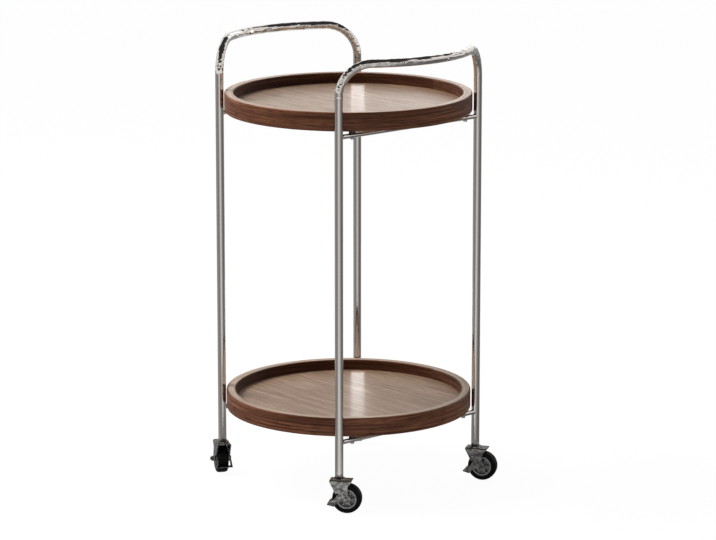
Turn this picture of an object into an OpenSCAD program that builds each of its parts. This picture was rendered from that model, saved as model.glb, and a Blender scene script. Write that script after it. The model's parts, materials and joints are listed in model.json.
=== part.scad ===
// Round two-tier side table on casters. Origin on the floor at the table's centre, +Z up.
// The two tube hoops stand at -X and +X, and each carries one side of both trays.

/* [Trays] */
// Outer diameter of a tray
tray_d = 420; // [380:5:460]
// Width of the tray's rim, seen from above
rim_w = 16.5; // [13:0.5:20]
// Height of the tray's rim
rim_h = 31.5; // [28:0.5:40]
// Depth of the tray's well below the top of its rim
well_depth = 18; // [14:0.5:20]
// Thickness of the tray's floor panel
panel_t = 6; // [4:0.5:7]
// Width of the ledge inside the rim that the panel lies on
ledge_w = 4; // [3:0.5:6]
// Rounding of the rim's edges
rim_ease = 2.5; // [1:0.25:4]
// Top of the upper tray's rim above the floor
upper_rim_z = 675; // [600:5:740]
// Height from the lower tray's rim to the upper tray's rim
tray_pitch = 516; // [420:1:545]

/* [Frame] */
// Outer diameter of the hoop's tube
tube_d = 14; // [12:0.5:19]
// Wall of the hoop's tube
tube_t = 1.2; // [1:0.1:1.5]
// Gap between a leg and the edge of a tray
leg_gap = 2; // [0.5:0.25:4]
// Height of the top bar's centre line above the upper rim
bar_rise = 81.5; // [70:0.5:110]
// Radius of the bends between legs and top bar, on the centre line
bend_r = 55; // [45:1:65]
// How far the top bar bows out beyond its legs
bar_bow = 64; // [50:1:70]
// Diameter of the straight cross rails
rail_d = 8; // [7:0.5:12]
// Height of the pads between a rail and the rim above it
pad_t = 4; // [1.5:0.25:5]
// Diameter of the pads
pad_d = 11; // [9:0.5:12]

/* [Tray screws] */
// Diameter of the tray screws
screw_d = 4; // [3:0.5:5]
// Depth of the tray screws in the rim
screw_bite = 11.5; // [8:0.5:18]
// Diameter of the screw heads
screw_head_d = 7; // [6:0.25:8]
// Height of the screw heads
screw_head_h = 2.4; // [1.5:0.1:3]

/* [Casters] */
// Room between the top of the tyre and the fork's crown
crown_room = 5.2; // [4:0.1:8]
// Thickness of the plug's flange under the leg
plug_flange = 0.8; // [0.6:0.1:2]
// Length of the plug inside the leg
plug_len = 24; // [20:1:30]
// Diameter of the caster's stem and kingpin
stem_d = 8; // [6:1:8]
// Diameter of the wheels
wheel_d = 50; // [46:1:56]
// Width of the tyres
tyre_w = 18; // [15:0.5:19]
// Thickness of the tyres
tyre_t = 8; // [5:0.5:8.5]
// Distance from the swivel axis to the axle
trail = 13.5; // [12:0.5:18]
// Width across the fork
fork_w = 25; // [24:0.5:28]
// Thickness of the fork's steel
fork_t = 2; // [1.5:0.25:2]
// Diameter of the axle bolts
axle_d = 5; // [4:0.5:6]
// Outer diameter of the sleeves on the axle bolts
sleeve_d = 7.5; // [7:0.25:9.5]
// Diameter of the bearing balls
ball_d = 2; // [1.5:0.25:2]
// Number of balls in each swivel race
ball_n = 14; // [8:1:20]
// Directions in which the casters trail: front, right, back and left leg
trail_dirs = [40, 33, 139, 153]; // [[0:360]]

/* [Brakes] */
// Distance from the axle forward to the lever's rivets
brake_fwd = 11; // [11:0.5:12]
// Height of the lever's rivets above the axle
brake_up = 3; // [2:0.5:4]
// Thickness of the lever's steel
lever_t = 1.2; // [1:0.1:1.2]
// Length of the lever's tread
tread_l = 8; // [6:0.5:12]
// Gap between tread and tyre with the lever down
brake_gap = 0.4; // [0.3:0.1:1]

/* [Hidden] */

// Smoothness of the round parts
$fn = 64;
// A cut runs this far past the face it opens
cut = 1;
// Radial clearance of a turning fit, and of a hole that a screw or bolt passes
run_fit = 0.05;
hole_fit = 0.15;
// Radial clearance of a riveted or pressed fit
rivet_seat_fit = 0.01;
plug_fit = 0.025;

// Frame
tube_r = tube_d / 2;
tray_r = tray_d / 2;
leg_r = tray_r + leg_gap + tube_r;
leg_x = leg_r * cos(45);
leg_y = leg_x;
bar_z = upper_rim_z + bar_rise;
// Angle that the bar's ends make with Y, so that the bar bows out by bar_bow
bow_a = 2 * atan(bar_bow / (bend_r + leg_y));
bow_r = (leg_y - bend_r * cos(bow_a)) / sin(bow_a);
lower_rim_z = upper_rim_z - tray_pitch;
rail_drop = rim_h + pad_t + rail_d / 2;
// The floor panel lies on a ledge of what is left of the rim's height below it
ledge_h = rim_h - well_depth - panel_t;
// The screws stand where a rail crosses the middle of the rim's underside
foot_r = tray_r - (rim_w + ledge_w) / 2;
screw_y = sqrt(foot_r * foot_r - leg_x * leg_x);

// Caster, in its own place: swivel axis at X = Y = 0, wheel trailing to +X
axle_z = wheel_d / 2;
wheel_r = wheel_d / 2;
race_t = 1.2;
race_r = 11;
race_wall = 1;
ball_ring_r = 8;
ball_r = ball_d / 2;
ball_fit = 0.1;
crown_gap = 0.8;
crown_in = wheel_d + crown_room;
crown_top = crown_in + fork_t;
ball_z = crown_top + crown_gap / 2;
race_top = crown_top + crown_gap + race_t;
leg_end_z = race_top + plug_flange;
head_gap = 0.3;
head_h = 1.8;
head_r = 6;
stem_grip = 20;
fork_in = fork_w / 2 - fork_t;
fork_bend_r = 3;
fork_front = 15;
fork_back = 22;
cheek_lip = 2.5;
cheek_front = 5;
cheek_knee = 7;
cheek_back = 16;
cheek_cut = 10;
eye_r = 7;
rivet_eye_r = 6;
bolt_flats = 8;
bolt_head_h = 3.5;
bolt_end = 1.5;
nut_h = 5;
nut_ring_h = 1.2;
nut_ring_d = 7.2;
side_gap = 0.7;
tyre_seat_r = wheel_r - tyre_t;
rivet_x = trail - brake_fwd;
rivet_z = axle_z + brake_up;
rivet_r = 2;
rivet_head_r = 3.5;
rivet_head_h = 1.1;
rivet_round = 0.8;
rivet_gap = 0.1;
lever_gap = 0.3;
lever_in = fork_w / 2 + lever_gap;
lever_out = lever_in + lever_t;
lever_eye_r = 4.2;

LEGS = [[1, -1], [1, 1], [-1, 1], [-1, -1]];

// Point where the tangent from point p touches the circle of radius r about c, on side s
function touch(p, c, r, s) =
    let (d = norm(p - c), a = atan2(p[1] - c[1], p[0] - c[0]), b = s * acos(r / d))
    [c[0] + r * cos(a + b), c[1] + r * sin(a + b)];

// What rounding with radius r takes off a square corner whose two sides meet at [r, r]
module corner(r) {
    difference() {
        square(r + cut);
        circle(r);
        translate([-cut, -cut])
            square([r + cut, cut]);
    }
}

// A w by h rectangle from the origin, its corners rounded by [lower left, lower right, upper right, upper left]
module soft_rect(w, h, r) {
    difference() {
        square([w, h]);
        if (r[0] > 0)
            translate([r[0], r[0]])
                rotate(180)
                    corner(r[0]);
        if (r[1] > 0)
            translate([w - r[1], r[1]])
                rotate(270)
                    corner(r[1]);
        if (r[2] > 0)
            translate([w - r[2], h - r[2]])
                corner(r[2]);
        if (r[3] > 0)
            translate([r[3], h - r[3]])
                rotate(90)
                    corner(r[3]);
    }
}

module tube_section() {
    difference() {
        circle(d = tube_d);
        circle(d = tube_d - 2 * tube_t);
    }
}

// Half of a hoop: the leg at -Y, its bend, and the bar, which runs a few degrees past the middle
// and is cut off there at Y = 0
module half_hoop() {
    past = 2;
    difference() {
        translate([leg_x, -leg_y, 0])
            rotate(90 - bow_a) {
                translate([0, 0, leg_end_z])
                    linear_extrude(bar_z - bend_r - leg_end_z)
                        tube_section();
                translate([bend_r, 0, bar_z - bend_r])
                    rotate([90, 0, 0])
                        rotate_extrude(angle = 90, start = 90)
                            translate([bend_r, 0])
                                tube_section();
                translate([bend_r, bow_r, bar_z])
                    rotate_extrude(angle = bow_a + past, start = -90)
                        translate([bow_r, 0])
                            tube_section();
            }
        translate([leg_x, 0, bar_z - tube_d])
            cube([2 * bar_bow, 2 * tube_d, 2 * tube_d]);
    }
}

module hoop() {
    color("gainsboro") {
        half_hoop();
        mirror([0, 1, 0])
            half_hoop();
    }
}

// Straight rod between a hoop's legs, its ends coped to the round of the tube
module rail(rim_z) {
    color("gainsboro")
        difference() {
            translate([leg_x, leg_y, rim_z - rail_drop])
                rotate([90, 0, 0])
                    cylinder(d = rail_d, h = 2 * leg_y);
            for (s = [-1, 1]) {
                translate([leg_x, s * leg_y, rim_z - rail_drop - rail_d])
                    cylinder(r = tube_r, h = 2 * rail_d);
                translate([leg_x, s * screw_y, rim_z - rail_drop - rail_d])
                    cylinder(r = screw_d / 2 + hole_fit, h = 2 * rail_d);
            }
        }
}

module for_each_screw() {
    for (z = [upper_rim_z, lower_rim_z], side = [-1, 1], end = [-1, 1])
        translate([side * leg_x, end * screw_y, z])
            children();
}

// Bent-wood ring: a wall with eased edges and, low on its inside, the ledge for the floor panel
module rim(rim_z) {
    color("saddlebrown")
        difference() {
            translate([0, 0, rim_z - rim_h])
                rotate_extrude($fn = 180) {
                    translate([tray_r - rim_w, 0])
                        soft_rect(rim_w, rim_h, [0, rim_ease, rim_ease, rim_ease]);
                    translate([tray_r - rim_w - ledge_w, 0])
                        square([ledge_w + rim_w / 2, ledge_h]);
                }
            for (side = [-1, 1], end = [-1, 1])
                translate([side * leg_x, end * screw_y, rim_z - rim_h - cut])
                    cylinder(r = screw_d / 2 + run_fit, h = screw_bite + cut + hole_fit);
        }
}

// Floor panel, dropped into the rim from above onto its ledge
module panel(rim_z) {
    color("rosybrown")
        translate([0, 0, rim_z - rim_h + ledge_h])
            cylinder(r = tray_r - rim_w - run_fit, h = panel_t, $fn = 180);
}

// Rubber pads, hollowed below to sit astride the rail
module tray_pads() {
    saddle = rail_d / 4;
    color("dimgray")
        for_each_screw()
            difference() {
                translate([0, 0, -rim_h - pad_t - saddle])
                    cylinder(d = pad_d, h = pad_t + saddle);
                translate([0, pad_d, -rail_drop])
                    rotate([90, 0, 0])
                        cylinder(d = rail_d, h = 2 * pad_d);
                translate([0, 0, -rail_drop])
                    cylinder(r = screw_d / 2 + run_fit, h = rail_drop);
            }
}

// Button-head screws with a hex recess, driven up through rail and pad
module tray_screws() {
    recess_r = 1.4;
    recess_h = 1.4;
    head_ease = 1.4;
    color("silver")
        for_each_screw()
            difference() {
                union() {
                    translate([0, 0, -rail_drop - rail_d / 2])
                        cylinder(d = screw_d, h = rail_d + pad_t + screw_bite);
                    translate([0, 0, -rail_drop - rail_d / 2 - screw_head_h])
                        rotate_extrude()
                            soft_rect(screw_head_d / 2, screw_head_h, [0, head_ease, 0, 0]);
                }
                translate([0, 0, -rail_drop - rail_d / 2 - screw_head_h - cut])
                    cylinder(r = recess_r, h = recess_h + cut, $fn = 6);
            }
}

// Threaded plugs pressed into the legs, with a flange that closes the tube's end
module leg_plugs() {
    color("dimgray")
        for (leg = LEGS)
            translate([leg[0] * leg_x, leg[1] * leg_y, leg_end_z])
                difference() {
                    union() {
                        cylinder(r = tube_r - tube_t - plug_fit, h = plug_len);
                        translate([0, 0, -plug_flange])
                            cylinder(r = tube_r, h = plug_flange);
                    }
                    translate([0, 0, -plug_flange - cut])
                        cylinder(r = stem_d / 2 + run_fit, h = plug_len + plug_flange + 2 * cut);
                }
}

// Threaded stem, kingpin and riveted foot in one piece, reaching stem_grip into the leg's plug
module stem() {
    foot_z = crown_in - head_gap - head_h;
    color("silver") {
        translate([0, 0, foot_z])
            cylinder(d = stem_d, h = leg_end_z + stem_grip - foot_z);
        translate([0, 0, foot_z])
            cylinder(r = head_r, h = head_h);
    }
}

// Upper race, a pressed cup whose skirt shields the balls
module race() {
    skirt_z = crown_top + head_gap;
    color("silver")
        difference() {
            translate([0, 0, skirt_z])
                rotate_extrude()
                    soft_rect(race_r, race_top - skirt_z, [0, 0, race_t, 0]);
            translate([0, 0, skirt_z - cut])
                cylinder(r = race_r - race_wall, h = crown_gap - head_gap + cut);
            translate([0, 0, skirt_z - cut])
                cylinder(r = stem_d / 2 + run_fit, h = race_top - skirt_z + 2 * cut);
            translate([0, 0, ball_z])
                ball_groove();
        }
}

module ball_groove() {
    rotate_extrude()
        translate([ball_ring_r, 0])
            circle(r = ball_r + ball_fit, $fn = 32);
}

module balls() {
    color("silver")
        for (i = [0 : ball_n - 1])
            rotate(i * 360 / ball_n)
                translate([ball_ring_r, 0, ball_z])
                    sphere(r = ball_r, $fn = 20);
}

// Side view of a fork cheek, X along the trail and Y up: a lip under both ends of the crown, a front edge
// that slopes to cheek_front and on to the rivet's eye, and a back edge cut in and dropped to the axle's eye
module cheek_outline() {
    axle = [trail, axle_z];
    rivet = [rivet_x, rivet_z];
    lip_f = [-fork_front, crown_top - cheek_lip];
    lip_b = [fork_back, crown_top - cheek_lip];
    knee = [-cheek_front, rivet_z + cheek_knee];
    waist = [cheek_back, crown_top - cheek_cut];
    span = norm(axle - rivet);
    slope = atan2(axle[1] - rivet[1], axle[0] - rivet[0]);
    lean = asin((eye_r - rivet_eye_r) / span);
    down = slope - 90 - lean;
    difference() {
        union() {
            polygon([
                [-fork_front, crown_top], lip_f, knee, touch(knee, rivet, rivet_eye_r, -1), rivet, axle,
                [cheek_back, axle_z], waist, lip_b, [fork_back, crown_top]
            ]);
            polygon([
                rivet, rivet + rivet_eye_r * [cos(down), sin(down)],
                axle + eye_r * [cos(down), sin(down)], axle
            ]);
            translate(axle)
                circle(r = eye_r);
            translate(rivet)
                circle(r = rivet_eye_r);
        }
        translate(axle)
            circle(r = axle_d / 2 + hole_fit);
        translate(rivet)
            circle(r = rivet_r + rivet_seat_fit);
    }
}

// U-shaped channel seen along the trail, bent over the wheel
module crown_section() {
    in_r = fork_bend_r - fork_t;
    difference() {
        translate([-fork_w / 2, 0])
            soft_rect(fork_w, crown_top, [0, 0, fork_bend_r, fork_bend_r]);
        translate([-fork_in, -cut])
            soft_rect(2 * fork_in, crown_in + cut, [0, 0, in_r, in_r]);
    }
}

// Fork pressed from sheet steel: the channel cut to the cheek's outline, with a ball track round the kingpin
module fork() {
    color("darkgray")
        difference() {
            intersection() {
                translate([-fork_front, 0, 0])
                    rotate([90, 0, 90])
                        linear_extrude(fork_front + fork_back)
                            crown_section();
                translate([0, fork_w / 2 + cut, 0])
                    rotate([90, 0, 0])
                        linear_extrude(fork_w + 2 * cut)
                            cheek_outline();
            }
            translate([0, 0, crown_in - cut])
                cylinder(r = stem_d / 2 + run_fit, h = fork_t + 2 * cut);
            translate([0, 0, ball_z])
                ball_groove();
        }
}

// Turns a piece drawn along Z so that it lies along the axle, centred between the cheeks
module on_axle() {
    translate([trail, 0, axle_z])
        rotate([90, 0, 0])
            children();
}

module sleeve() {
    color("silver")
        on_axle()
            difference() {
                cylinder(d = sleeve_d, h = 2 * fork_in, center = true);
                cylinder(r = axle_d / 2 + run_fit, h = 2 * fork_w, center = true);
            }
}

module axle_bolt() {
    color("silver")
        on_axle() {
            translate([0, 0, -fork_w / 2 - nut_h - bolt_end])
                cylinder(d = axle_d, h = fork_w + nut_h + bolt_end + bolt_head_h / 2);
            translate([0, 0, fork_w / 2])
                cylinder(d = bolt_flats / cos(30), h = bolt_head_h, $fn = 6);
        }
}

// Lock nut: a hexagon with the round ring that holds its plastic insert
module axle_nut() {
    color("silver")
        on_axle()
            translate([0, 0, -fork_w / 2 - nut_h])
                difference() {
                    union() {
                        translate([0, 0, nut_ring_h])
                            cylinder(d = bolt_flats / cos(30), h = nut_h - nut_ring_h, $fn = 6);
                        cylinder(d = nut_ring_d, h = nut_h);
                    }
                    translate([0, 0, -cut])
                        cylinder(r = axle_d / 2 + run_fit, h = nut_h + 2 * cut);
                }
}

// Moulded wheel core: hub, web with ribs on both sides, and a flanged seat for the tyre
module core() {
    hub_r = 6.5;
    web_t = 4;
    seat_t = 2.5;
    rib_t = 1.6;
    rib_n = 6;
    rib_set = 1.5;
    core_w = tyre_w - 1;
    rib_w = core_w - 2 * rib_set;
    hub_w = 2 * (fork_in - side_gap);
    color("gray")
        on_axle()
            difference() {
                union() {
                    cylinder(r = hub_r, h = hub_w, center = true);
                    cylinder(r = tyre_seat_r - seat_t / 2, h = web_t, center = true);
                    difference() {
                        cylinder(r = tyre_seat_r, h = core_w, center = true);
                        cylinder(r = tyre_seat_r - seat_t, h = core_w + cut, center = true);
                    }
                    for (i = [0 : rib_n - 1])
                        rotate(i * 360 / rib_n)
                            translate([hub_r / 2, -rib_t / 2, -rib_w / 2])
                                cube([tyre_seat_r - seat_t / 2 - hub_r / 2, rib_t, rib_w]);
                }
                cylinder(r = sleeve_d / 2 + run_fit, h = 2 * fork_w, center = true);
            }
}

module tyre() {
    shoulder = 3;
    color("black")
        on_axle()
            rotate_extrude($fn = 96)
                translate([tyre_seat_r, -tyre_w / 2])
                    soft_rect(tyre_t, tyre_w, [0, shoulder, shoulder, 0]);
}

// Two shoulder rivets, one in each cheek, that the brake lever turns on
module rivets() {
    color("silver")
        for (s = [-1, 1])
            translate([rivet_x, s * fork_in, rivet_z])
                rotate([-90 * s, 0, 0]) {
                    cylinder(r = rivet_r, h = lever_out - fork_in + rivet_gap);
                    translate([0, 0, lever_out - fork_in + rivet_gap])
                        rotate_extrude()
                            soft_rect(rivet_head_r, rivet_head_h, [0, 0, rivet_round, 0]);
                }
}

// Brake lever pressed as a U: two three-cornered arms outside the fork, joined by the tread in front of the tyre
module brake() {
    bite_a = 198;
    tilt = 4;
    tip_drop = 1.4;
    heel_run = 3.5;
    heel_drop = 4.8;
    pivot = [rivet_x, rivet_z];
    bite_r = wheel_r + brake_gap;
    bite = [trail + bite_r * cos(bite_a), axle_z + bite_r * sin(bite_a)];
    tip = bite + tread_l * [-cos(tilt), -sin(tilt)];
    down = lever_t * [sin(tilt), -cos(tilt)];
    heel = bite + [heel_run, -heel_drop];
    color("darkgray") {
        for (s = [-1, 1])
            translate([0, s * (lever_in + lever_t / 2), 0])
                rotate([90, 0, 0])
                    linear_extrude(lever_t, center = true)
                        difference() {
                            union() {
                                polygon([
                                    touch(tip, pivot, lever_eye_r, -1), tip,
                                    tip - [0, tip_drop], heel, touch(heel, pivot, lever_eye_r, 1), pivot
                                ]);
                                translate(pivot)
                                    circle(r = lever_eye_r);
                            }
                            translate(pivot)
                                circle(r = rivet_r + run_fit);
                        }
        translate([0, lever_out, 0])
            rotate([90, 0, 0])
                linear_extrude(2 * lever_out)
                    polygon([bite, tip, tip + down, bite + down]);
    }
}

// Sets a caster piece under leg i, trailing the way that leg's caster does
module caster(i) {
    translate([LEGS[i][0] * leg_x, LEGS[i][1] * leg_y, 0])
        rotate(trail_dirs[i])
            children();
}

module hoop_right() { hoop(); }
module hoop_left() { mirror([1, 0, 0]) hoop(); }
module rail_upper_right() { rail(upper_rim_z); }
module rail_upper_left() { mirror([1, 0, 0]) rail(upper_rim_z); }
module rail_lower_right() { rail(lower_rim_z); }
module rail_lower_left() { mirror([1, 0, 0]) rail(lower_rim_z); }

hoop_left();
hoop_right();
rail_upper_left();
rail_upper_right();
rail_lower_left();
rail_lower_right();
rim(upper_rim_z);  // rim_upper
rim(lower_rim_z);  // rim_lower
panel(upper_rim_z);  // panel_upper
panel(lower_rim_z);  // panel_lower
tray_pads();
tray_screws();
leg_plugs();
caster(0) stem();  // stem_front
caster(1) stem();  // stem_right
caster(2) stem();  // stem_back
caster(3) stem();  // stem_left
caster(0) race();  // race_front
caster(1) race();  // race_right
caster(2) race();  // race_back
caster(3) race();  // race_left
caster(0) balls();  // balls_front
caster(1) balls();  // balls_right
caster(2) balls();  // balls_back
caster(3) balls();  // balls_left
caster(0) fork();  // fork_front
caster(1) fork();  // fork_right
caster(2) fork();  // fork_back
caster(3) fork();  // fork_left
caster(0) sleeve();  // sleeve_front
caster(1) sleeve();  // sleeve_right
caster(2) sleeve();  // sleeve_back
caster(3) sleeve();  // sleeve_left
caster(0) axle_bolt();  // axle_bolt_front
caster(1) axle_bolt();  // axle_bolt_right
caster(2) axle_bolt();  // axle_bolt_back
caster(3) axle_bolt();  // axle_bolt_left
caster(0) axle_nut();  // axle_nut_front
caster(1) axle_nut();  // axle_nut_right
caster(2) axle_nut();  // axle_nut_back
caster(3) axle_nut();  // axle_nut_left
caster(0) core();  // core_front
caster(1) core();  // core_right
caster(2) core();  // core_back
caster(3) core();  // core_left
caster(0) tyre();  // tyre_front
caster(1) tyre();  // tyre_right
caster(2) tyre();  // tyre_back
caster(3) tyre();  // tyre_left
caster(0) rivets();  // rivets_front
caster(1) rivets();  // rivets_right
caster(2) rivets();  // rivets_back
caster(3) rivets();  // rivets_left
caster(0) brake();  // brake_front
caster(1) brake();  // brake_right
caster(2) brake();  // brake_back
caster(3) brake();  // brake_left
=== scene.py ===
import json
import math

import bpy
import numpy as np
from mathutils import Matrix, Vector


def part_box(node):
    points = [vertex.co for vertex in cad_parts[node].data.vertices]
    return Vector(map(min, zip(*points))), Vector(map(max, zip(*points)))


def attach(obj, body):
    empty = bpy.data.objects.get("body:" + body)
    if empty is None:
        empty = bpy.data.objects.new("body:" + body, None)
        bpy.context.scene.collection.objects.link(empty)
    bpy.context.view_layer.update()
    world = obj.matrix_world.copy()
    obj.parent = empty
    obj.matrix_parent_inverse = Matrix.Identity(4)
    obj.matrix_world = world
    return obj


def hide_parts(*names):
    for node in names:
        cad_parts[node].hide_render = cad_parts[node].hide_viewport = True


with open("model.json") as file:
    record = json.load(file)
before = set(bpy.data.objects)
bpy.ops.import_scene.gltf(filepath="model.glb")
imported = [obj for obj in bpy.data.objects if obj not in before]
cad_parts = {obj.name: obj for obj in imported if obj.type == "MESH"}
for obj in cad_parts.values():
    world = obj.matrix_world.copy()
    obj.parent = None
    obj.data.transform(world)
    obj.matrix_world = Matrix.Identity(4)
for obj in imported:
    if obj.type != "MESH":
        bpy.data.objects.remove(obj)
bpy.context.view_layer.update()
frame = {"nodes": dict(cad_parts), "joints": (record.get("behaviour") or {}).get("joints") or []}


# The two hoops. Each is one 14 mm steel tube, bent cold into leg, shoulder, bowed hand bar,
# shoulder and leg, then chromed all over. A tube bender leaves the skin faintly uneven, which
# shows as mottled reflections along the bar. The tube's lower ends stay open for the casters.

TUBE_R = 0.007
TUBE_WALL = 0.0012
TUBE_LIP = 0.0004
BORE_DEPTH = 0.03
SHOULDER_R = 0.055
BAR_BOW = 0.064
LEG_POINTS = 60
SHOULDER_POINTS = 33
HALF_BAR_POINTS = 49
ROD_SIDES = 48
UP = np.array([0.0, 0.0, 1.0])

leg_at = (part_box("stem_front")[0].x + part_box("stem_front")[1].x) / 2
hoop_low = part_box("hoop_right")[0].z
bar_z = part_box("hoop_right")[1].z - TUBE_R
shoulder_z = bar_z - SHOULDER_R
bow_angle = 2 * math.atan(BAR_BOW / (SHOULDER_R + leg_at))
bow_r = (leg_at - SHOULDER_R * math.cos(bow_angle)) / math.sin(bow_angle)


def hoop_line(side):
    """Middle line of one hoop, from foot to foot, in two mirrored halves.

    The leg is a straight upright. The shoulder is a quarter circle of SHOULDER_R in the upright
    plane that points along (sin, cos) of the bow angle. The bar is a circle of bow_r lying flat,
    entered at the bow angle and left at minus the bow angle, so its middle bows out by BAR_BOW.
    """
    along = np.array([math.sin(bow_angle), math.cos(bow_angle), 0.0])
    inward = np.array([-math.cos(bow_angle), math.sin(bow_angle), 0.0])
    foot = np.array([leg_at, -leg_at, 0.0])
    leg = foot + np.linspace(hoop_low, shoulder_z, LEG_POINTS)[:, None] * UP
    t = np.linspace(0, np.pi / 2, SHOULDER_POINTS)[1:, None]
    shoulder = foot + shoulder_z * UP + SHOULDER_R * ((1 - np.cos(t)) * along + np.sin(t) * UP)
    t = np.linspace(0, bow_angle, HALF_BAR_POINTS)[1:, None]
    bar_end = foot + bar_z * UP + SHOULDER_R * along
    bar = bar_end + bow_r * (np.sin(t) * along + (1 - np.cos(t)) * inward)
    half = np.vstack([leg, shoulder, bar])
    line = np.vstack([half, half[-2::-1] * [1, -1, 1]])
    return line * [side, side, 1]


def spokes_along(line):
    """Circles of radius 1 lying square to the line, one at each of its points.

    Their zero direction is handed on from point to point by the smallest turn, so that a skin
    over them doesn't twist. It starts square to Y, and the line starts upright.
    """
    step = np.gradient(line, axis=0)
    step /= np.linalg.norm(step, axis=1)[:, None]
    side = np.empty_like(line)
    side[0] = np.cross(step[0], [0.0, 1.0, 0.0])
    for k in range(1, len(line)):
        handed_on = side[k - 1] - step[k] * (side[k - 1] @ step[k])
        side[k] = handed_on / np.linalg.norm(handed_on)
    other = np.cross(step, side)
    a = np.linspace(0, 2 * np.pi, ROD_SIDES, endpoint=False)[:, None]
    return np.cos(a) * side[:, None] + np.sin(a) * other[:, None]


def skin(name, rings, finish, body, stands_for=(), ends_meet=False, chart=None):
    """One closed skin over a stack of rings, given as an array of (ring, point, xyz).

    Point j of ring i joins point j + 1 and ring i + 1 in a four-sided face. The last point joins
    the first. The first and last rings are closed by a fan about their middle, or, if ends_meet,
    joined to each other. The faces are turned over if the volume they enclose comes out negative.
    Where ends meet, chart may give each ring and each point a place (u, v) along the surface,
    with one ring and one point more that close it.
    """
    n, m = rings.shape[:2]
    i = np.arange(n if ends_meet else n - 1)[:, None]
    j = np.arange(m)[None, :]
    i1, j1 = (i + 1) % n, (j + 1) % m
    quads = np.broadcast_arrays(i * m + j, i * m + j1, i1 * m + j1, i1 * m + j)
    quads = np.stack(quads, -1).reshape(-1, 4)
    points = rings.reshape(-1, 3)
    fans = np.empty((0, 3), int)
    if not ends_meet:
        points = np.vstack([points, rings[0].mean(0), rings[-1].mean(0)])
        k, k1 = np.arange(m), (np.arange(m) + 1) % m
        first = np.stack([np.full(m, n * m), k1, k], -1)
        last = np.stack([np.full(m, n * m + 1), (n - 1) * m + k, (n - 1) * m + k1], -1)
        fans = np.vstack([first, last])
    tri = np.vstack([quads[:, [0, 1, 2]], quads[:, [0, 2, 3]], fans])
    a, b, c = points[tri[:, 0]], points[tri[:, 1]], points[tri[:, 2]]
    inside_out = np.einsum("ij,ij->i", a, np.cross(b, c)).sum() < 0
    ahead = np.array([[0, 0], [0, 1], [1, 1], [1, 0]])
    if inside_out:
        quads, fans, ahead = quads[:, ::-1], fans[:, ::-1], ahead[::-1]
    corners = np.concatenate([quads.ravel(), fans.ravel()])
    sides = np.repeat([4, 3], [len(quads), len(fans)])
    mesh = bpy.data.meshes.new(name)
    mesh.vertices.add(len(points))
    mesh.vertices.foreach_set("co", points.astype(np.float32).ravel())
    mesh.loops.add(len(corners))
    mesh.loops.foreach_set("vertex_index", corners.astype(np.int32))
    mesh.polygons.add(len(sides))
    mesh.polygons.foreach_set("loop_start", (np.cumsum(sides) - sides).astype(np.int32))
    mesh.update(calc_edges=True)
    mesh.polygons.foreach_set("use_smooth", np.ones(len(sides), bool))
    if chart is not None:
        uv = chart[i[..., None] + ahead[:, 0], j[..., None] + ahead[:, 1]]
        mesh.uv_layers.new(name="along").data.foreach_set("uv", uv.astype(np.float32).ravel())
    mesh.materials.append(finish)
    piece = bpy.data.objects.new(name, mesh)
    bpy.context.scene.collection.objects.link(piece)
    if stands_for:
        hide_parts(*stands_for)
    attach(piece, body)


def new_finish(name, colour, metallic, roughness):
    """A material with its shader, whose even values sit on the shader's own sockets."""
    finish = bpy.data.materials.new(name)
    finish.use_nodes = True
    shader = finish.node_tree.nodes["Principled BSDF"]
    shader.inputs["Base Color"].default_value = (*colour, 1)
    shader.inputs["Metallic"].default_value = metallic
    shader.inputs["Roughness"].default_value = roughness
    return finish, shader


def add_node(finish, kind, links=(), **values):
    """A node in that material: each value goes on the socket or the setting of its name."""
    node = finish.node_tree.nodes.new(kind)
    for key, value in values.items():
        if hasattr(node, key):
            setattr(node, key, value)
        else:
            node.inputs[key].default_value = value
    for source, socket in links:
        finish.node_tree.links.new(source, node.inputs[socket])
    return node


def join(finish, source, target):
    """Links a node's output to another node's socket."""
    finish.node_tree.links.new(source, target)


def own_place(finish):
    """Where a point lies on the object, in metres from its origin."""
    return add_node(finish, "ShaderNodeTexCoord").outputs["Object"]


def noise(finish, place, scale, detail, roughness=0.5, distortion=0.0):
    """Soft noise from 0 to 1, with about scale features in a metre."""
    node = add_node(finish, "ShaderNodeTexNoise", [(place, "Vector")], Scale=scale, Detail=detail,
                    Roughness=roughness, Distortion=distortion)
    return node.outputs["Fac"]


def drawn_out(finish, place, scales, detail, roughness=0.5, distortion=0.0):
    """Noise with its own number of features in a metre along each of the three directions."""
    stretched = add_node(finish, "ShaderNodeMapping", [(place, "Vector")], Scale=scales)
    return noise(finish, stretched.outputs[0], 1.0, detail, roughness, distortion)


def band(finish, source, low, high, out_low=0.0, out_high=1.0):
    """Maps the source from low..high to out_low..out_high, held at both ends."""
    node = add_node(finish, "ShaderNodeMapRange", [(source, "Value")],
                    **{"From Min": low, "From Max": high, "To Min": out_low, "To Max": out_high})
    return node.outputs["Result"]


def blend_colours(finish, factor, first, second):
    """Goes from the first colour to the second with the factor. Either may be a node's output."""
    node = add_node(finish, "ShaderNodeMix", data_type="RGBA")
    join(finish, factor, node.inputs[0])
    for socket, colour in ((node.inputs[6], first), (node.inputs[7], second)):
        if isinstance(colour, tuple):
            socket.default_value = (*colour, 1)
        else:
            join(finish, colour, socket)
    return node.outputs[2]


def bump(finish, shader, height, distance, strength=1.0):
    """Tilts the surface as if it rose by distance where the height goes from 0 to 1."""
    node = add_node(finish, "ShaderNodeBump", [(height, "Height")], Distance=distance, Strength=strength)
    join(finish, node.outputs["Normal"], shader.inputs["Normal"])
    return node


# Bright chrome: a faintly warm grey mirror, whose skin is uneven over a few centimetres and bends
# the reflections on the bars, with a haze of fine handling marks. Down the legs the skin is even.
EVEN_BELOW = 0.69
UNEVEN_ABOVE = 0.73

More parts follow.
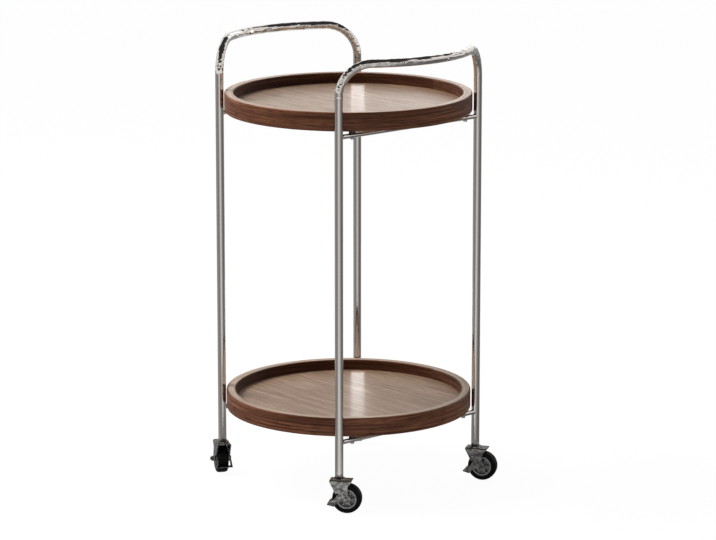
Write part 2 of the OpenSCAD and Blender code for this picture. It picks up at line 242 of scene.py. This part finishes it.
chrome, shader = new_finish("bright_chrome", (0.62, 0.615, 0.61), metallic=1.0, roughness=0.07)
place = own_place(chrome)
waves = drawn_out(chrome, place, (120.0, 38.0, 120.0), detail=1.0)
haze = noise(chrome, place, 310.0, detail=4.0, roughness=0.6)
tint = blend_colours(chrome, haze, (0.735, 0.692, 0.655), (0.635, 0.592, 0.555))
join(chrome, tint, shader.inputs["Base Color"])
join(chrome, band(chrome, haze, 0.35, 0.7, 0.045, 0.13), shader.inputs["Roughness"])
dent = bump(chrome, shader, waves, distance=0.0027)
height = add_node(chrome, "ShaderNodeSeparateXYZ", [(place, "Vector")]).outputs["Z"]
join(chrome, band(chrome, height, EVEN_BELOW, UNEVEN_ABOVE, 0.04, 1.0), dent.inputs["Strength"])

# The open foot, as (height, radius): from deep in the bore down its wall and round the tube's cut
# edge to the outer skin.
bore_r = TUBE_R - TUBE_WALL
foot = [(BORE_DEPTH, bore_r), (TUBE_LIP, bore_r), (0.0, bore_r + TUBE_LIP), (0.0, TUBE_R - TUBE_LIP),
        (TUBE_LIP, TUBE_R)]
for name, side in (("hoop_right", 1), ("hoop_left", -1)):
    line = hoop_line(side)
    spokes = spokes_along(line)
    first_foot = np.stack([line[0] + z * UP + r * spokes[0] for z, r in foot])
    last_foot = np.stack([line[-1] + z * UP + r * spokes[-1] for z, r in foot[::-1]])
    between = (line[:, None] + TUBE_R * spokes)[1:-1]
    rings = np.concatenate([first_foot, between, last_foot])
    skin("tube_" + name, rings, chrome, "frame", [name])


# The four cross rails. Each is an 8 mm steel rod, coped at both ends to the legs' round and
# welded there with a small ground fillet, then chromed together with its hoop.

ROD_R = 0.004
WELD_RISE = 0.0012
WELD_RUN = 0.0032
WELD_DEPTH = 0.0006
WELD_RINGS = 10
FIRST_PAST_WELD = 1.6 * WELD_RUN
HALF_ROD_RINGS = 14


def rail_skin(x, z):
    """A rod along Y whose ends lie on the two legs' skins.

    At angle a the rod's point is (r cos a, r sin a) off its middle line. It stops at the leg's
    skin, at Y = leg - sqrt(R^2 - (r cos a)^2). Within WELD_RUN of that the radius r grows by
    WELD_RISE along a quarter circle, which is the weld's hollow fillet. The two end rings lie
    WELD_DEPTH inside the legs' skins.
    """
    a = np.linspace(0, 2 * np.pi, ROD_SIDES, endpoint=False)
    half_rod = leg_at - TUBE_R
    in_weld = WELD_RUN * (1 - np.cos(np.linspace(0, np.pi / 2, WELD_RINGS)))
    past_weld = np.geomspace(FIRST_PAST_WELD, half_rod, HALF_ROD_RINGS)
    off_leg = np.concatenate([[-WELD_DEPTH], in_weld, past_weld])
    swell = np.clip(1 - off_leg / WELD_RUN, 0, 1)
    r = (ROD_R + WELD_RISE * (1 - np.sqrt(np.clip(1 - swell**2, 0, 1))))[:, None]
    reach = leg_at - np.sqrt(TUBE_R**2 - (r * np.cos(a)) ** 2)
    fade = np.clip(1 - off_leg / half_rod, 0, 1)[:, None]
    y = -(reach * fade + half_rod * (1 - fade) - off_leg[:, None])
    half = np.stack([x + r * np.cos(a), y, z + r * np.sin(a)], -1)
    return np.concatenate([half, half[-2::-1] * [1, -1, 1]])


for tier in ("upper", "lower"):
    for side, name in ((1, "right"), (-1, "left")):
        node = f"rail_{tier}_{name}"
        lo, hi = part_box(node)
        rings = rail_skin(side * leg_at, (lo.z + hi.z) / 2)
        skin(f"rod_{tier}_{name}", rings, chrome, "frame", [node])


# The tray rims. Each is bent from thin walnut-faced plies glued up into a ring, turned true, its
# edges eased, and lacquered. The face ply's grain runs round the ring, and one scarf joint,
# at the back, is where the ply's two ends meet.

RIM_W = 0.0165
RIM_H = 0.0315
LEDGE_W = 0.004
LEDGE_H = 0.0075
EASE = 0.0025
LEDGE_EASE = 0.0005
REBATE_EASE = 0.0002
RIM_EASE_POINTS = 7
RIM_SECTIONS = 256
SCARF_SIDE = np.array([0.0, 1.0, 0.0])
GRAIN_STARTS = {"upper": 0.0, "lower": 2.3}


def rounded(points, radii, steps):
    """A closed outline with each corner turned into an arc that touches both of its sides."""
    points = np.asarray(points, float)
    out = []
    for k, r in enumerate(radii):
        corner = points[k]
        back = points[k - 1] - corner
        ahead = points[(k + 1) % len(points)] - corner
        back, ahead = back / np.linalg.norm(back), ahead / np.linalg.norm(ahead)
        half = math.acos(np.clip(back @ ahead, -1, 1)) / 2
        middle = corner + (back + ahead) / np.linalg.norm(back + ahead) * r / math.sin(half)
        a0 = corner + back * r / math.tan(half) - middle
        a1 = corner + ahead * r / math.tan(half) - middle
        s = np.linspace(0, 1, steps)[:, None]
        w = math.pi - 2 * half
        out.append(middle + (np.sin((1 - s) * w) * a0 + np.sin(s * w) * a1) / math.sin(w))
    return np.vstack(out)


def turned(outline, middle, axis, first, second, sections):
    """A ring turned about the axis through its middle, as sections of (outline point, xyz).

    At angle a, an outline point (radius, height) lies its radius out along cos a times the first
    direction plus sin a times the second, and its height along the axis.
    """
    a = np.linspace(0, 2 * np.pi, sections, endpoint=False)[:, None, None]
    way_out = np.cos(a) * first + np.sin(a) * second
    return middle + outline[:, :1] * way_out + outline[:, 1:] * axis


def graded(finish, pattern, low, high, first, second):
    """The first colour where the pattern is at most low, the second where it is at least high."""
    return blend_colours(finish, band(finish, pattern, low, high), first, second)


# The rim's section, from its outer top edge down and round. At its foot a ledge juts inwards.
inner = -RIM_W
ledge_top = LEDGE_H - RIM_H
section = rounded(
    [(0, 0), (0, -RIM_H), (inner - LEDGE_W, -RIM_H), (inner - LEDGE_W, ledge_top), (inner, ledge_top),
     (inner, 0)],
    [EASE, EASE, LEDGE_EASE, LEDGE_EASE, REBATE_EASE, EASE], RIM_EASE_POINTS)
sides = np.linalg.norm(np.diff(section, axis=0, append=section[:1]), axis=1)
girth = np.concatenate([[0], np.cumsum(sides)])
top_face_from = girth[-2]
inner_face_from = girth[np.argmin(section[:, 0])]

# Walnut under lacquer: broad figure, streaks and pores drawn out along the grain. The top face
# is paler, partly the plies' edges and partly a painted sheen, and the inner wall has painted shade.
PAINTED_SHADE_FADE = 0.001
PLIES_AND_SHEEN_START = 0.0012
PLIES_AND_SHEEN_FULL = 0.0004

walnut_rim, shader = new_finish("walnut_rim_lacquered", (0.14, 0.055, 0.03), metallic=0.0, roughness=0.42)
shader.inputs["Specular IOR Level"].default_value = 0.12
along = add_node(walnut_rim, "ShaderNodeUVMap", uv_map="along").outputs["UV"]
figure = drawn_out(walnut_rim, along, (2.6, 70.0, 1.0), detail=3.0, roughness=0.55, distortion=0.8)
streaks = drawn_out(walnut_rim, along, (7.0, 330.0, 1.0), detail=4.0, roughness=0.6)
pores = drawn_out(walnut_rim, along, (42.0, 1500.0, 1.0), detail=2.0)
ground = graded(walnut_rim, figure, 0.32, 0.68, (0.118, 0.041, 0.019), (0.325, 0.13, 0.063))
streaked = graded(walnut_rim, streaks, 0.4, 0.6, (0.085, 0.027, 0.013), ground)
pored = graded(walnut_rim, pores, 0.34, 0.46, (0.035, 0.012, 0.007), streaked)
# The top face's colour: the plies' paler edges, lightened further as a painted sheen.
plies_and_painted_sheen = graded(walnut_rim, streaks, 0.38, 0.6, (0.27, 0.173, 0.115), (0.475, 0.36, 0.277))
way_round = add_node(walnut_rim, "ShaderNodeSeparateXYZ", [(along, "Vector")]).outputs["Y"]
# Painted shade: the inner wall is blended 40 percent towards near black, standing in for the shade in the
# rim's well.
inside = band(walnut_rim, way_round, inner_face_from - PAINTED_SHADE_FADE, inner_face_from + PAINTED_SHADE_FADE, 0.0, 0.4)
walls_with_painted_shade = blend_colours(walnut_rim, inside, pored, (0.012, 0.004, 0.002))
on_top = band(walnut_rim, way_round, top_face_from - PLIES_AND_SHEEN_START, top_face_from + PLIES_AND_SHEEN_FULL)
join(walnut_rim, blend_colours(walnut_rim, on_top, walls_with_painted_shade, plies_and_painted_sheen), shader.inputs["Base Color"])
join(walnut_rim, band(walnut_rim, on_top, 0.0, 1.0, 0.12, 0.5), shader.inputs["Specular IOR Level"])
join(walnut_rim, band(walnut_rim, streaks, 0.3, 0.7, 0.5, 0.34), shader.inputs["Roughness"])
bump(walnut_rim, shader, pores, distance=0.0002, strength=0.3)

for tier in ("upper", "lower"):
    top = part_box(f"rim_{tier}")[1].z
    rim_r = min(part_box(f"rim_{tier}")[1].xy)
    rings = turned(section + [rim_r, 0], top * UP, UP, SCARF_SIDE, np.cross(UP, SCARF_SIDE), RIM_SECTIONS)
    lengths = np.arange(RIM_SECTIONS + 1) / RIM_SECTIONS * 2 * np.pi * rim_r + GRAIN_STARTS[tier]
    chart = np.stack(np.broadcast_arrays(lengths[:, None], girth[None, :]), -1)
    skin(f"ring_{tier}", rings, walnut_rim, "frame", [f"rim_{tier}"], ends_meet=True,
         chart=chart)


# The tray floors: flat boards faced with straight-grained walnut veneer, lying on the rims'
# ledges, lacquered like the rims. The grain runs across the table from left to right.

walnut_floor, shader = new_finish("walnut_floor_lacquered", (0.3, 0.17, 0.1), metallic=0.0, roughness=0.45)
shader.inputs["Specular IOR Level"].default_value = 0.45
shader.inputs["Coat Weight"].default_value = 0.3
shader.inputs["Coat Roughness"].default_value = 0.16
place = own_place(walnut_floor)
figure = drawn_out(walnut_floor, place, (3.6, 34.0, 34.0), detail=3.0, roughness=0.55, distortion=0.7)
streaks = drawn_out(walnut_floor, place, (11.0, 210.0, 210.0), detail=4.0, roughness=0.62)
pores = drawn_out(walnut_floor, place, (60.0, 900.0, 900.0), detail=2.0)
ground = graded(walnut_floor, figure, 0.3, 0.7, (0.29, 0.181, 0.116), (0.456, 0.312, 0.216))
streaked = graded(walnut_floor, streaks, 0.36, 0.6, (0.24, 0.147, 0.093), ground)
pored = graded(walnut_floor, pores, 0.32, 0.44, (0.162, 0.093, 0.057), streaked)
join(walnut_floor, pored, shader.inputs["Base Color"])
join(walnut_floor, band(walnut_floor, streaks, 0.3, 0.7, 0.52, 0.38), shader.inputs["Roughness"])
bump(walnut_floor, shader, pores, distance=0.0002, strength=0.2)


def dress(finish, *names):
    """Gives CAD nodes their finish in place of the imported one."""
    for name in names:
        for slot in frame["nodes"][name].material_slots:
            slot.material = finish


dress(walnut_floor, "panel_upper", "panel_lower")


# Between rails and rims: black rubber saddle pads, moulded to the rail's round. Each is held with
# its rail and rim by a zinc plated pan-head screw.

def speckled(name, colour, metallic, roughness, specks, detail, rough_ends, first, second, specular=0.5):
    """A finish with about so many specks in a metre.

    From speck to speck its roughness goes from one to the other of rough_ends, and its colour
    from first to second.
    """
    finish, shader = new_finish(name, colour, metallic, roughness)
    shader.inputs["Specular IOR Level"].default_value = specular
    speck = noise(finish, own_place(finish), specks, detail)
    join(finish, band(finish, speck, 0.3, 0.7, *rough_ends), shader.inputs["Roughness"])
    join(finish, blend_colours(finish, speck, first, second), shader.inputs["Base Color"])
    return finish


rubber = speckled(
    "black_rubber", (0.018, 0.018, 0.018), metallic=0.0, roughness=0.7, specks=900.0, detail=3.0,
    rough_ends=(0.55, 0.8), first=(0.012, 0.012, 0.012), second=(0.03, 0.029, 0.028))
dress(rubber, "tray_pads")

zinc = speckled(
    "zinc_plate", (0.6, 0.6, 0.59), metallic=1.0, roughness=0.28, specks=700.0, detail=4.0,
    rough_ends=(0.2, 0.38), first=(0.68, 0.675, 0.66), second=(0.5, 0.5, 0.5))
dress(zinc, "tray_screws")


# The leg plugs: black plastic mouldings pressed into the tubes' open ends. Each holds the
# threaded stem of its leg's caster.

plastic = speckled(
    "black_plastic", (0.025, 0.025, 0.026), metallic=0.0, roughness=0.4, specks=1500.0, detail=2.0,
    rough_ends=(0.35, 0.5), first=(0.02, 0.02, 0.021), second=(0.035, 0.034, 0.034))
dress(plastic, "leg_plugs")


# The casters' steel. Forks, races and brake levers are pressed from sheet and nickel plated dull,
# as are the bolts, nuts and rivets. Stems and sleeves are turned and zinc plated, and the balls
# run greased in the race.

CORNERS = ("front", "right", "back", "left")

nickel, shader = new_finish("dull_nickel", (0.26, 0.255, 0.247), metallic=1.0, roughness=0.24)
place = own_place(nickel)
speck = noise(nickel, place, 900.0, detail=3.0, roughness=0.6)
cloud = noise(nickel, place, 170.0, detail=1.0)
join(nickel, band(nickel, speck, 0.3, 0.7, 0.15, 0.3), shader.inputs["Roughness"])
clouded = graded(nickel, cloud, 0.34, 0.66, (0.113, 0.11, 0.105), (0.4, 0.39, 0.376))
join(nickel, clouded, shader.inputs["Base Color"])
bump(nickel, shader, cloud, distance=0.0013, strength=0.6)

for corner in CORNERS:
    for part in ("fork", "race", "brake", "axle_bolt", "axle_nut", "rivets"):
        dress(nickel, f"{part}_{corner}")
    for part in ("stem", "balls", "sleeve"):
        dress(zinc, f"{part}_{corner}")


# The wheels: a moulded grey core turns on the axle's sleeve and carries a black rubber tyre,
# moulded round it with a slightly crowned tread and eased edges.

TYRE_W = 0.018
TYRE_T = 0.008
TREAD_FLAT = 0.007
CROWN = 0.0006
BEAD_SHOULDER_TREAD_EASES = [0.0004, 0.0026, 0.004]
TYRE_EASE_POINTS = 8
TYRE_SECTIONS = 96

core_grey = speckled(
    "moulded_grey_core", (0.16, 0.16, 0.16), metallic=0.0, roughness=0.45, specks=1300.0, detail=3.0,
    rough_ends=(0.38, 0.55), first=(0.26, 0.26, 0.257), second=(0.44, 0.44, 0.434))
tyre_black = speckled(
    "black_tyre", (0.007, 0.007, 0.007), metallic=0.0, roughness=0.5, specks=600.0, detail=4.0,
    rough_ends=(0.36, 0.62), first=(0.002, 0.002, 0.002), second=(0.007, 0.0069, 0.0067), specular=0.1)

rolling = {joint["name"]: joint for joint in frame["joints"]}
eases = BEAD_SHOULDER_TREAD_EASES + BEAD_SHOULDER_TREAD_EASES[::-1]
for corner in CORNERS:
    dress(core_grey, f"core_{corner}")
    roll = rolling[f"roll_{corner}"]
    axis = np.array(roll["axis"])
    middle = np.array(roll["pos_m"])
    wheel_r = middle[2]
    one_side = [(wheel_r - TYRE_T, TYRE_W / 2), (wheel_r - CROWN, TYRE_W / 2), (wheel_r, TREAD_FLAT / 2)]
    other_side = [(r, -w) for r, w in one_side[::-1]]
    outline = rounded(one_side + other_side, eases, TYRE_EASE_POINTS)
    rings = turned(outline, middle, axis, np.cross(axis, UP), UP, TYRE_SECTIONS)
    skin(f"tyre_skin_{corner}", rings, tyre_black, f"wheel_{corner}", [f"tyre_{corner}"],
         ends_meet=True)


# The studio: a pale floor that shows white and keeps a soft shadow, white air, one large soft
# lamp on the left, two narrow lamps that show only in gloss, and grey flags that only gloss
# sees too.

CAMERA_SIDE = math.radians(49.09)
FLOOR_HALF = 20.0
FLOOR_GLOW = 1.02
GLOW_TO_LIGHT = 0.45
GLOW_MORE_TO_SIGHT = 0.5
FLAG_POINTS = 121


def stage_sheet(name, rows, finish, seen, levels=None):
    """An open sheet over rows of points, that the camera and soft light may or may not see."""
    n, m = rows.shape[:2]
    i, j = np.arange(n - 1)[:, None], np.arange(m - 1)[None, :]
    quads = np.stack([i * m + j, i * m + j + 1, (i + 1) * m + j + 1, (i + 1) * m + j], -1)
    mesh = bpy.data.meshes.new(name)
    mesh.from_pydata(rows.reshape(-1, 3).tolist(), [], quads.reshape(-1, 4).tolist())
    mesh.materials.append(finish)
    if levels is not None:
        stored = mesh.attributes.new("level", "FLOAT", "POINT")
        stored.data.foreach_set("value", np.tile(levels, n).astype(np.float32))
    sheet = bpy.data.objects.new(name, mesh)
    bpy.context.scene.collection.objects.link(sheet)
    for ray in ("camera", "diffuse", "transmission", "shadow"):
        setattr(sheet, "visible_" + ray, seen)


def seen_by(finish, *rays):
    """1 for a ray of any of these kinds, 0 for the others."""
    path = add_node(finish, "ShaderNodeLightPath")
    found = path.outputs[rays[0]]
    for ray in rays[1:]:
        both = [(found, 0), (path.outputs[ray], 1)]
        found = add_node(finish, "ShaderNodeMath", both, operation="MAXIMUM").outputs[0]
    return found


def show(finish, factor, first, second):
    """Shows the first of two shaders where the factor is 0 and the second where it is 1."""
    both = [(factor, 0), (first.outputs[0], 1), (second.outputs[0], 2)]
    mixed = add_node(finish, "ShaderNodeMixShader", both)
    join(finish, mixed.outputs[0], finish.node_tree.nodes["Material Output"].inputs["Surface"])


floor_paint, shader = new_finish("studio_floor", (0.85, 0.85, 0.85), metallic=0.0, roughness=0.9)
shader.inputs["Specular IOR Level"].default_value = 0.0
glow = add_node(floor_paint, "ShaderNodeEmission", Strength=FLOOR_GLOW)
sight = seen_by(floor_paint, "Is Camera Ray", "Is Glossy Ray")
share = add_node(floor_paint, "ShaderNodeMath", [(sight, 0)], operation="MULTIPLY_ADD")
share.inputs[1].default_value = GLOW_MORE_TO_SIGHT
share.inputs[2].default_value = GLOW_TO_LIGHT
show(floor_paint, share.outputs[0], shader, glow)
near_edge = [(-FLOOR_HALF, -FLOOR_HALF, 0), (FLOOR_HALF, -FLOOR_HALF, 0)]
far_edge = [(-FLOOR_HALF, FLOOR_HALF, 0), (FLOOR_HALF, FLOOR_HALF, 0)]
stage_sheet("studio_floor", np.array([near_edge, far_edge]), floor_paint, True)


def around_table(turn, distance, height):
    """A point at that distance, turned to the right of the camera's side by turn degrees."""
    a = CAMERA_SIDE + math.radians(turn)
    return np.array([distance * math.sin(a), -distance * math.cos(a), height])


def flag(name, start, end, profile, level, inner_side_only=False):
    """A grey flag round the table: a profile of (radius, height) points turned from start to end.

    Its level is how bright it looks in gloss: one number, or a list of (turn, level) pairs.
    """
    finish, shader = new_finish(name, (0, 0, 0), metallic=0.0, roughness=1.0)
    shader.inputs["Specular IOR Level"].default_value = 0.0
    shader.inputs["Emission Color"].default_value = (1, 1, 1, 1)
    if inner_side_only:
        behind = add_node(finish, "ShaderNodeNewGeometry").outputs["Backfacing"]
        show(finish, behind, add_node(finish, "ShaderNodeBsdfTransparent"), shader)
    turns = np.linspace(start, end, FLAG_POINTS)
    rows = np.array([[around_table(t, r, z) for t in turns] for r, z in profile])
    if isinstance(level, list):
        levels = np.interp(turns, *zip(*level))
        stored = add_node(finish, "ShaderNodeAttribute", attribute_name="level").outputs["Fac"]
        join(finish, stored, shader.inputs["Emission Strength"])
    else:
        levels = None
        shader.inputs["Emission Strength"].default_value = level
    stage_sheet(name, rows, finish, False, levels)


# The skirt lies just over the floor and stands up at its edge, and gives the legs their dark and
# light sides. The others lie under and over the table and stand round it for the bars, the tray
# floors' lacquer and the rims, and sheen_behind is the one bright sheet among them.
SKIRT = [(0.30, 0.002), (1.1, 0.004), (3.3, 0.02), (3.6, 0.5)]
SKIRT_LEVELS = [
    (-180, 0.84), (-168, 0.8), (-150, 0.48), (-128, 0.3), (-90, 0.38), (-72, 0.3), (-52, 0.2),
    (-38, 0.34), (-24, 0.48), (-8, 0.84), (6, 0.84), (18, 0.55), (38, 0.38), (54, 0.22),
    (84, 0.13), (104, 0.2), (128, 0.25), (148, 0.45), (166, 0.8), (180, 0.84)]
flag("flag_skirt", -180, 180, SKIRT, SKIRT_LEVELS)
flag("flag_under", 0, 360, [(0.01, 0.002), (0.3, 0.002)], 0.24)
flag("flag_rim_right", 40, 130, [(1.8, 1.3), (1.8, 1.42)], 0.06)
flag("flag_above", 0, 360, [(0.02, 2.2), (1.9, 2.2)], 0.04)
flag("sheen_behind", 158, 176, [(1.0, 0.86), (1.0, 1.25)], 2.0, inner_side_only=True)
flag("flag_behind", 130, 230, [(1.45, 0.1), (1.5, 0.8)], 0.35)
flag("flag_front_low", -75, 50, [(2.6, 0.95), (2.6, 1.4)], 0.05)
flag("flag_front_high", -75, 50, [(2.5, 2.0), (2.3, 2.6)], 0.05)

# The air is white to the eye, in gloss and through glass. As soft light it comes from behind the
# table only: frontness is 1 towards the camera's side and -1 away from it.
BACK_LIGHT = 0.85
BACK_LIGHT_FULL = -0.45
BACK_LIGHT_GONE = 0.3
world = bpy.data.worlds.new("studio_air")
bpy.context.scene.world = world
world.use_nodes = True
air = world.node_tree.nodes["Background"]
air.inputs["Color"].default_value = (1, 1, 1, 1)
sight = seen_by(world, "Is Camera Ray", "Is Glossy Ray", "Is Transmission Ray")
way = add_node(world, "ShaderNodeTexCoord").outputs["Generated"]
frontness = add_node(world, "ShaderNodeVectorMath", [(way, 0)], operation="DOT_PRODUCT")
frontness.inputs[1].default_value = (math.sin(CAMERA_SIDE), -math.cos(CAMERA_SIDE), 0)
from_behind = band(world, frontness.outputs["Value"], BACK_LIGHT_FULL, BACK_LIGHT_GONE, BACK_LIGHT, 0.0)
strength = add_node(world, "ShaderNodeMix", [(sight, 0), (from_behind, 2)], data_type="FLOAT")
strength.inputs[3].default_value = 1.0
join(world, strength.outputs[0], air.inputs["Strength"])


def lamp(name, spot, aim, width, height, watts, shows_in_gloss):
    """A rectangular lamp at spot, turned to aim, that either only lights or only shows in gloss."""
    data = bpy.data.lights.new(name, "AREA")
    data.shape = "RECTANGLE"
    data.size = width
    data.size_y = height
    data.energy = watts
    light = bpy.data.objects.new(name, data)
    light.location = spot
    light.rotation_mode = "QUATERNION"
    light.rotation_quaternion = (Vector(aim) - Vector(spot)).to_track_quat("-Z", "Y")
    light.visible_camera = False
    light.visible_glossy = shows_in_gloss
    light.visible_diffuse = not shows_in_gloss
    bpy.context.scene.collection.objects.link(light)


lamp("key", around_table(-96, 2.0, 2.8), (0, 0, 0.4), width=1.6, height=1.6, watts=112,
     shows_in_gloss=False)

# Two glint lamps, each a narrow upright strip over the back of a rim, which only gloss sees: the
# bright streak down each floor. A strip sends out its level times pi watts per square metre.
GLINT_W = 0.023
GLINT_TURN = 175.1
GLINT_OUT = 0.19
for name, low, high, level in (("glint_upper", 0.661, 0.8, 2.1), ("glint_lower", 0.145, 0.28, 2.6)):
    middle = (low + high) / 2
    watts = level * math.pi * GLINT_W * (high - low)
    spot = around_table(GLINT_TURN, GLINT_OUT, middle)
    lamp(name, spot, (0, 0, middle), GLINT_W, high - low, watts, shows_in_gloss=True)

# The camera stands in front of the front leg, a long way off with a long lens. The picture's
# width and the focus are in pixels, distances in metres and angles in radians.
PICTURE_W = 716
FOCUS = 3500.0
SENSOR_MM = 36.0
AWAY = 5.841344
EYE = 1.66566
DOWN = 0.219
ASIDE = 0.0028
TURN = 0.8568
camera_data = bpy.data.cameras.new("view")
camera_data.sensor_width = SENSOR_MM
camera_data.lens = SENSOR_MM * FOCUS / PICTURE_W
camera_data.clip_end = 100
camera = bpy.data.objects.new("view", camera_data)
bpy.context.scene.collection.objects.link(camera)
ahead = Vector((math.sin(ASIDE) * math.cos(DOWN), math.cos(ASIDE) * math.cos(DOWN), -math.sin(DOWN)))
ahead = Matrix.Rotation(TURN, 3, "Z") @ ahead
camera.location = (AWAY * math.sin(TURN), -AWAY * math.cos(TURN), EYE)
camera.rotation_mode = "QUATERNION"
camera.rotation_quaternion = ahead.to_track_quat("-Z", "Y")
bpy.context.scene.camera = camera

bpy.context.scene.view_settings.view_transform = "Standard"
